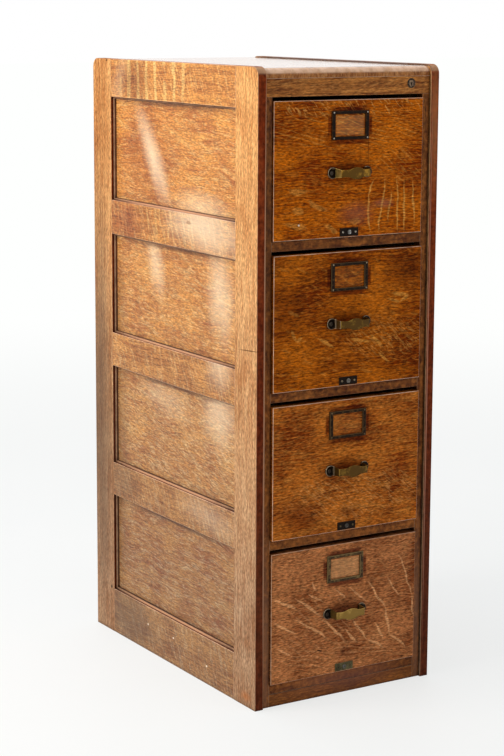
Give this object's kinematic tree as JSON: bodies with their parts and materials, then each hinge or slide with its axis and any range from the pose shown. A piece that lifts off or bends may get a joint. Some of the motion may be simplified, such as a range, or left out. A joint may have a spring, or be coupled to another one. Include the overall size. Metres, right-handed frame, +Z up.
{
  "type": "filing cabinet",
  "caption": "Upright oak filing cabinet with panelled sides, letter drawers that slide on wooden runners, strap pulls, card frames, sliding follower blocks and a key lock that works a bar",
  "frame": {"origin": "on the floor, in the middle of the whole outline, pulls included", "axes": "+Z up, -Y towards the front where the drawers open, +X to the right of somebody who stands in front"},
  "size_m": [0.442, 0.734, 1.32],
  "materials": {
    "oak": "quarter-sawn oak under worn, darkened shellac",
    "drawer_wood": "planed plain oak, unfinished, greyed with handling",
    "aged_brass": "stamped brass with a dull brown patina, rubbed bright on its edges",
    "dark_bronze": "bronze plating worn to olive and brass",
    "steel": "drawn steel, dull and slightly browned"
  },
  "bodies": {
    "cabinet": {"left_side_stiles": "oak", "left_side_rails": "oak", "left_side_panels": "oak", "right_side_stiles": "oak", "right_side_rails": "oak", "right_side_panels": "oak", "panel_beads": "oak", "back_frame": "oak", "back_panels": "oak", "top_board": "oak", "top_rail": "oak", "face_stiles": "oak", "divider_rails": "oak", "plinth_rail": "oak", "drawer_runners": "drawer_wood", "top_kickers": "drawer_wood", "lock_case": "aged_brass"},
    "drawer_1": {"drawer_1_front": "oak", "drawer_1_box": "drawer_wood", "drawer_1_bottom": "drawer_wood", "drawer_1_pull": "dark_bronze", "drawer_1_card_frame": "aged_brass", "drawer_1_rod_plate": "dark_bronze", "drawer_1_guide_rod": "steel", "drawer_1_strike": "steel", "drawer_1_screws": "aged_brass"},
    "drawer_1_follower_block": {"drawer_1_follower": "drawer_wood"},
    "drawer_2": {"drawer_2_front": "oak", "drawer_2_box": "drawer_wood", "drawer_2_bottom": "drawer_wood", "drawer_2_pull": "dark_bronze", "drawer_2_card_frame": "aged_brass", "drawer_2_rod_plate": "dark_bronze", "drawer_2_guide_rod": "steel", "drawer_2_strike": "steel", "drawer_2_screws": "aged_brass"},
    "drawer_2_follower_block": {"drawer_2_follower": "drawer_wood"},
    "drawer_3": {"drawer_3_front": "oak", "drawer_3_box": "drawer_wood", "drawer_3_bottom": "drawer_wood", "drawer_3_pull": "dark_bronze", "drawer_3_card_frame": "aged_brass", "drawer_3_rod_plate": "dark_bronze", "drawer_3_guide_rod": "steel", "drawer_3_strike": "steel", "drawer_3_screws": "aged_brass"},
    "drawer_3_follower_block": {"drawer_3_follower": "drawer_wood"},
    "drawer_4": {"drawer_4_front": "oak", "drawer_4_box": "drawer_wood", "drawer_4_bottom": "drawer_wood", "drawer_4_pull": "dark_bronze", "drawer_4_card_frame": "aged_brass", "drawer_4_rod_plate": "dark_bronze", "drawer_4_guide_rod": "steel", "drawer_4_strike": "steel", "drawer_4_screws": "aged_brass"},
    "drawer_4_follower_block": {"drawer_4_follower": "drawer_wood"},
    "lock_plug_turning": {"lock_plug": "aged_brass"},
    "lock_bar_lifting": {"lock_bar": "steel"}
  },
  "joints": [
    {"name": "drawer_1_slide", "type": "slide", "parent": "cabinet", "child": "drawer_1", "axis": [0, -1, 0], "range_m": [0, 0.5]},
    {"name": "drawer_2_slide", "type": "slide", "parent": "cabinet", "child": "drawer_2", "axis": [0, -1, 0], "range_m": [-0.0035, 0.4965]},
    {"name": "drawer_3_slide", "type": "slide", "parent": "cabinet", "child": "drawer_3", "axis": [0, -1, 0], "range_m": [-0.004, 0.496]},
    {"name": "drawer_4_slide", "type": "slide", "parent": "cabinet", "child": "drawer_4", "axis": [0, -1, 0], "range_m": [-0.0015, 0.4985]},
    {"name": "drawer_1_follower_slide", "type": "slide", "parent": "drawer_1", "child": "drawer_1_follower_block", "axis": [0, -1, 0], "range_m": [-0.018, 0.54]},
    {"name": "drawer_2_follower_slide", "type": "slide", "parent": "drawer_2", "child": "drawer_2_follower_block", "axis": [0, -1, 0], "range_m": [-0.018, 0.54]},
    {"name": "drawer_3_follower_slide", "type": "slide", "parent": "drawer_3", "child": "drawer_3_follower_block", "axis": [0, -1, 0], "range_m": [-0.018, 0.54]},
    {"name": "drawer_4_follower_slide", "type": "slide", "parent": "drawer_4", "child": "drawer_4_follower_block", "axis": [0, -1, 0], "range_m": [-0.018, 0.54]},
    {"name": "lock_bar_lift", "type": "slide", "parent": "cabinet", "child": "lock_bar_lifting", "axis": [0, 0, 1], "range_m": [0, 0.014]},
    {"name": "lock_plug_turn", "type": "hinge", "parent": "cabinet", "child": "lock_plug_turning", "pos_m": [0.1545, -0.337, 1.282], "axis": [0, -1, 0], "range_deg": [0, 90]}
  ],
  "couplings": [
    {"joint": "lock_plug_turn", "follows": "lock_bar_lift", "rad_per_m": 112.19}
  ]
}
